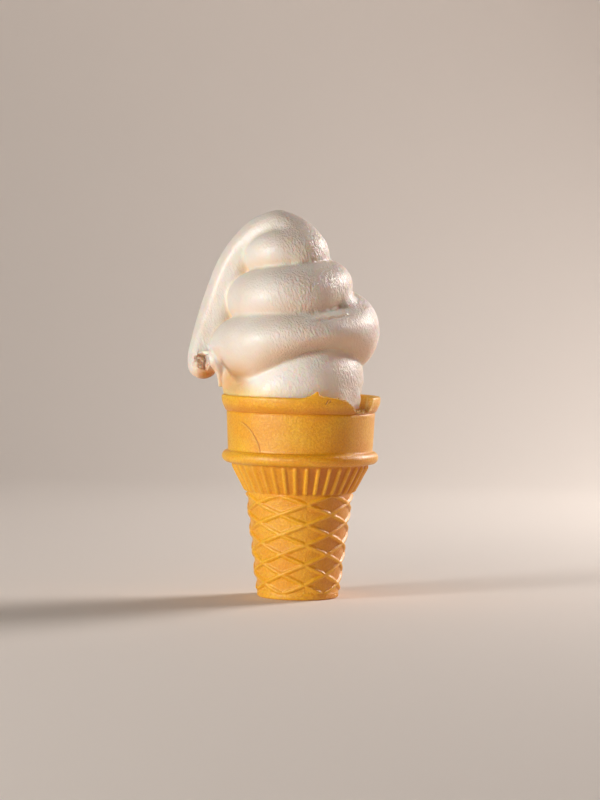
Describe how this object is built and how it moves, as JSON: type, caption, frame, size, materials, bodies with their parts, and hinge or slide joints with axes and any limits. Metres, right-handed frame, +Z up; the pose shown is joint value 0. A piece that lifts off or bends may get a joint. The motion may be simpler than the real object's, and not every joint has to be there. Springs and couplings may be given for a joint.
{
  "type": "soft serve ice cream cone",
  "caption": "Soft serve ice cream piled in leaning spiral turns with a drooping tail, in a flat-footed moulded wafer cup whose lip is partly broken.",
  "frame": {"origin": "centre of the underside of the wafer cup's flat foot", "axes": "+Z up along the cup's axis, -Y towards the front, +X to the right as seen from the front, the drooping tail on -X"},
  "size_m": [0.073, 0.0604, 0.1457],
  "materials": {
    "wafer": "matt baked golden wafer with a fine dry grain",
    "ice_cream": "moist satin vanilla cream with a fine wrinkled skin"
  },
  "bodies": {
    "root": {"wafer_cone": "wafer", "soft_serve": "ice_cream"}
  },
  "joints": []
}
